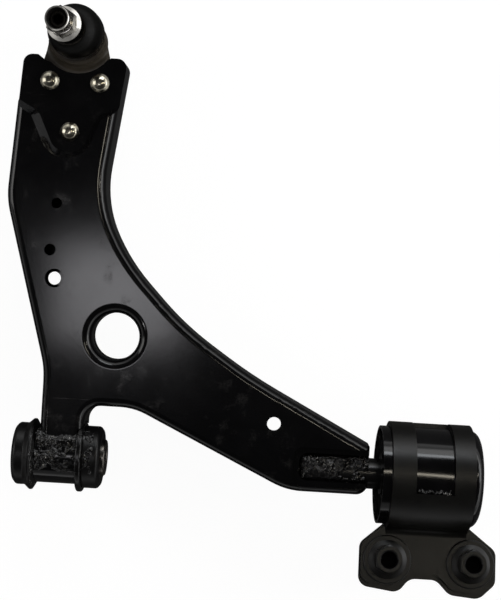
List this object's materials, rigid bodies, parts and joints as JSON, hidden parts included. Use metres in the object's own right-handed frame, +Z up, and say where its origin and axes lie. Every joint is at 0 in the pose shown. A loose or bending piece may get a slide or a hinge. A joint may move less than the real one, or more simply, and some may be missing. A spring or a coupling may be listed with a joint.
{
  "type": "control arm",
  "caption": "Stamped steel lower control arm with a riveted ball joint, a front rubber bush and a rear bush held in a bolted bracket.",
  "frame": {"origin": "centre of the front bush, on the pivot axis", "axes": "+X along the pivot axis from the front bush to the rear bush, +Y across towards the ball joint, +Z up along the ball stud"},
  "size_m": [0.363, 0.4034, 0.1139],
  "materials": {
    "arm_paint": "black dip coat, semi-gloss",
    "weld_paint": "black dip coat over rough weld",
    "sleeve_paint": "black dip coat, satin",
    "pin_paint": "black dip coat, satin",
    "can_paint": "black dip coat, semi-gloss",
    "bracket_paint": "black dip coat, satin",
    "forged_paint": "phosphate and oil over forging",
    "bush_rubber": "moulded natural rubber, matte",
    "boot_rubber": "moulded chloroprene, satin",
    "race_polymer": "acetal",
    "bare_steel": "machined steel",
    "bright_rivet": "bright formed steel",
    "zinc_plate": "bright zinc"
  },
  "bodies": {
    "arm": {"upper_shell": "arm_paint", "lower_shell": "arm_paint", "shell_seam_weld": "weld_paint", "front_bush_tube": "arm_paint", "front_tube_weld": "weld_paint", "front_bush_outer_sleeve": "sleeve_paint", "front_bush_rubber": "bush_rubber", "rear_pin": "pin_paint", "rear_pin_weld": "weld_paint", "rear_bush_core": "sleeve_paint", "ball_joint_housing": "forged_paint", "ball_joint_race": "race_polymer", "ball_joint_preload_disc": "bare_steel", "ball_joint_cap": "forged_paint", "ball_joint_rivets": "bright_rivet", "boot_base_clip": "bare_steel"},
    "front_inner_sleeve": {"front_bush_inner_sleeve": "bare_steel"},
    "rear_bracket": {"rear_bush_can": "can_paint", "rear_bush_rubber": "bush_rubber", "rear_bracket_upper_leaf": "bracket_paint", "rear_bracket_lower_leaf": "bracket_paint", "rear_bracket_nuts": "bracket_paint", "rear_bracket_weld": "weld_paint"},
    "stud_cradle": {"boot": "boot_rubber"},
    "stud_swivel": {"boot_neck_clip": "bare_steel"},
    "stud": {"ball_stud": "bare_steel", "stud_nut": "zinc_plate"}
  },
  "joints": [
    {"name": "front_bush_twist", "type": "hinge", "parent": "arm", "child": "front_inner_sleeve", "pos_m": [0, 0, 0], "axis": [1, 0, 0], "range_deg": [-20, 20], "stiffness_Nm_per_rad": 60},
    {"name": "rear_bush_twist", "type": "hinge", "parent": "arm", "child": "rear_bracket", "pos_m": [0.265, 0, 0], "axis": [1, 0, 0], "range_deg": [-20, 20], "stiffness_Nm_per_rad": 90},
    {"name": "stud_tilt_x", "type": "hinge", "parent": "arm", "child": "stud_cradle", "pos_m": [-0.0038, 0.3015, 0], "axis": [1, 0, 0], "range_deg": [-17, 17], "deforming": ["boot"]},
    {"name": "stud_tilt_y", "type": "hinge", "parent": "stud_cradle", "child": "stud_swivel", "pos_m": [-0.0038, 0.3015, 0], "axis": [0, 1, 0], "range_deg": [-17, 17]},
    {"name": "stud_spin", "type": "hinge", "parent": "stud_swivel", "child": "stud", "pos_m": [-0.0038, 0.3015, 0], "axis": [-0.0614, -0.0488, 0.9969], "continuous": true}
  ]
}
